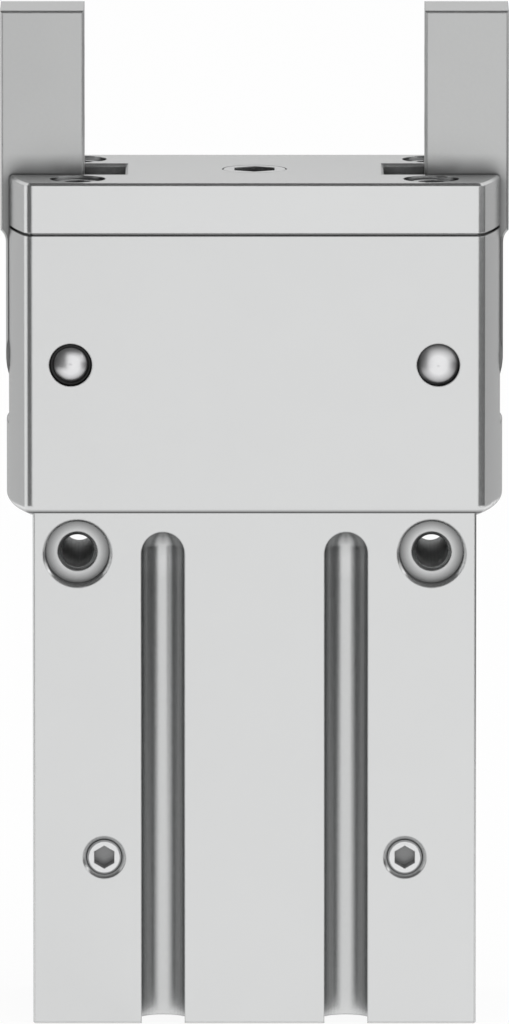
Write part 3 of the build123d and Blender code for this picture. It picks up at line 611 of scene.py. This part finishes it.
def flatPanel(name, xLimits, yLimits, level):
    (left, right), (front, back) = xLimits, yLimits
    corners = [(left, front, level), (right, front, level), (right, back, level), (left, back, level)]
    panel = addPiece(name, corners, [(0, 1, 2, 3)])
    return panel


def curvedCard(name, card, steps):
    # Part of an upright cylinder: angle across the card, height up it
    angle = np.radians(np.linspace(*card["angles"], steps + 1))
    angle, height = np.meshgrid(angle, np.array(card["heights"]))
    x = card["radius"] * np.sin(angle)
    y = -card["radius"] * np.cos(angle)
    points = np.stack([x, y, height], axis=-1).reshape(-1, 3)
    first = np.arange(steps)
    above = first + steps + 1
    faces = np.stack([first, first + 1, above + 1, above], axis=-1)
    panel = addPiece(name, points.tolist(), faces.tolist())
    return panel


def seenRays(tree):
    # 1 for camera, glossy and transmission rays
    path = addNode(tree, "ShaderNodeLightPath")
    total = mathNode(tree, "ADD", path.outputs["Is Camera Ray"], path.outputs["Is Glossy Ray"])
    return mathNode(tree, "ADD", total, path.outputs["Is Transmission Ray"], clamp=True)


def floorMaterial(colour, whiteShare):
    # White where the camera or a reflection sees it, with part of its real shade kept for shadows.
    # It has no underside, so that the base can be looked at from below.
    material, tree = newMaterial("paleFloor")
    output = addNode(tree, "ShaderNodeOutputMaterial")
    lit = addNode(tree, "ShaderNodeBsdfDiffuse")
    lit.inputs["Color"].default_value = colour
    white = addNode(tree, "ShaderNodeEmission")
    mix = addNode(tree, "ShaderNodeMixShader")
    tree.links.new(product(tree, seenRays(tree), whiteShare), mix.inputs[0])
    tree.links.new(lit.outputs[0], mix.inputs[1])
    tree.links.new(white.outputs[0], mix.inputs[2])
    oneSided = addNode(tree, "ShaderNodeMixShader")
    below = addNode(tree, "ShaderNodeNewGeometry").outputs["Backfacing"]
    tree.links.new(below, oneSided.inputs[0])
    tree.links.new(mix.outputs[0], oneSided.inputs[1])
    tree.links.new(addNode(tree, "ShaderNodeBsdfTransparent").outputs[0], oneSided.inputs[2])
    tree.links.new(oneSided.outputs[0], output.inputs["Surface"])
    return material


def makeReflectedOnly(panel, grey):
    # A card that only reflections see: it draws a dark or grey band on rounded edges
    material, tree = newMaterial("darkCard")
    output = addNode(tree, "ShaderNodeOutputMaterial")
    glow = addNode(tree, "ShaderNodeEmission")
    glow.inputs["Color"].default_value = (grey, grey, grey, 1.0)
    tree.links.new(glow.outputs[0], output.inputs["Surface"])
    panel.data.materials.append(material)
    panel.visible_camera = False
    panel.visible_diffuse = False
    panel.visible_shadow = False
    panel.visible_transmission = False


def makeFloor(values):
    sides = (-values["floorReach"], values["floorReach"])
    floor = flatPanel("floor", sides, sides, -values["floorGap"])
    floor.data.materials.append(floorMaterial(values["floorColour"], values["floorWhite"]))


def makeCards(values):
    for name, card in studioCards.items():
        makeReflectedOnly(curvedCard(name, card, values["cardSteps"]), card["grey"])
    sides = (-values["ceilingSide"], values["ceilingSide"])
    depths = (values["ceilingFront"], values["ceilingBack"])
    ceiling = flatPanel("ceilingCard", sides, depths, values["ceilingHeight"])
    makeReflectedOnly(ceiling, values["ceilingGrey"])


def makeKeyLight(values):
    light = bpy.data.lights.new("keyLight", "AREA")
    light.size = values["keySize"]
    light.energy = values["keyPower"]
    key = bpy.data.objects.new("keyLight", light)
    key.location = values["keyPlace"]
    aimAlong(key, Vector(values["keyTarget"]) - key.location)
    bpy.context.scene.collection.objects.link(key)


def makeWorld(fill):
    # White where it is seen, and a softer grey as fill light
    world = bpy.data.worlds.new("studio")
    world.use_nodes = True
    tree = world.node_tree
    tree.nodes.clear()
    output = addNode(tree, "ShaderNodeOutputWorld")
    background = addNode(tree, "ShaderNodeBackground")
    background.inputs["Color"].default_value = (1.0, 1.0, 1.0, 1.0)
    strength = mathNode(tree, "ADD", product(tree, seenRays(tree), 1.0 - fill), fill)
    tree.links.new(strength, background.inputs["Strength"])
    tree.links.new(background.outputs[0], output.inputs["Surface"])
    bpy.context.scene.world = world


makeFloor(studio)
makeCards(studio)
makeKeyLight(studio)
makeWorld(studio["fillStrength"])
bpy.context.scene.view_settings.view_transform = "Standard"
print("studio lit")
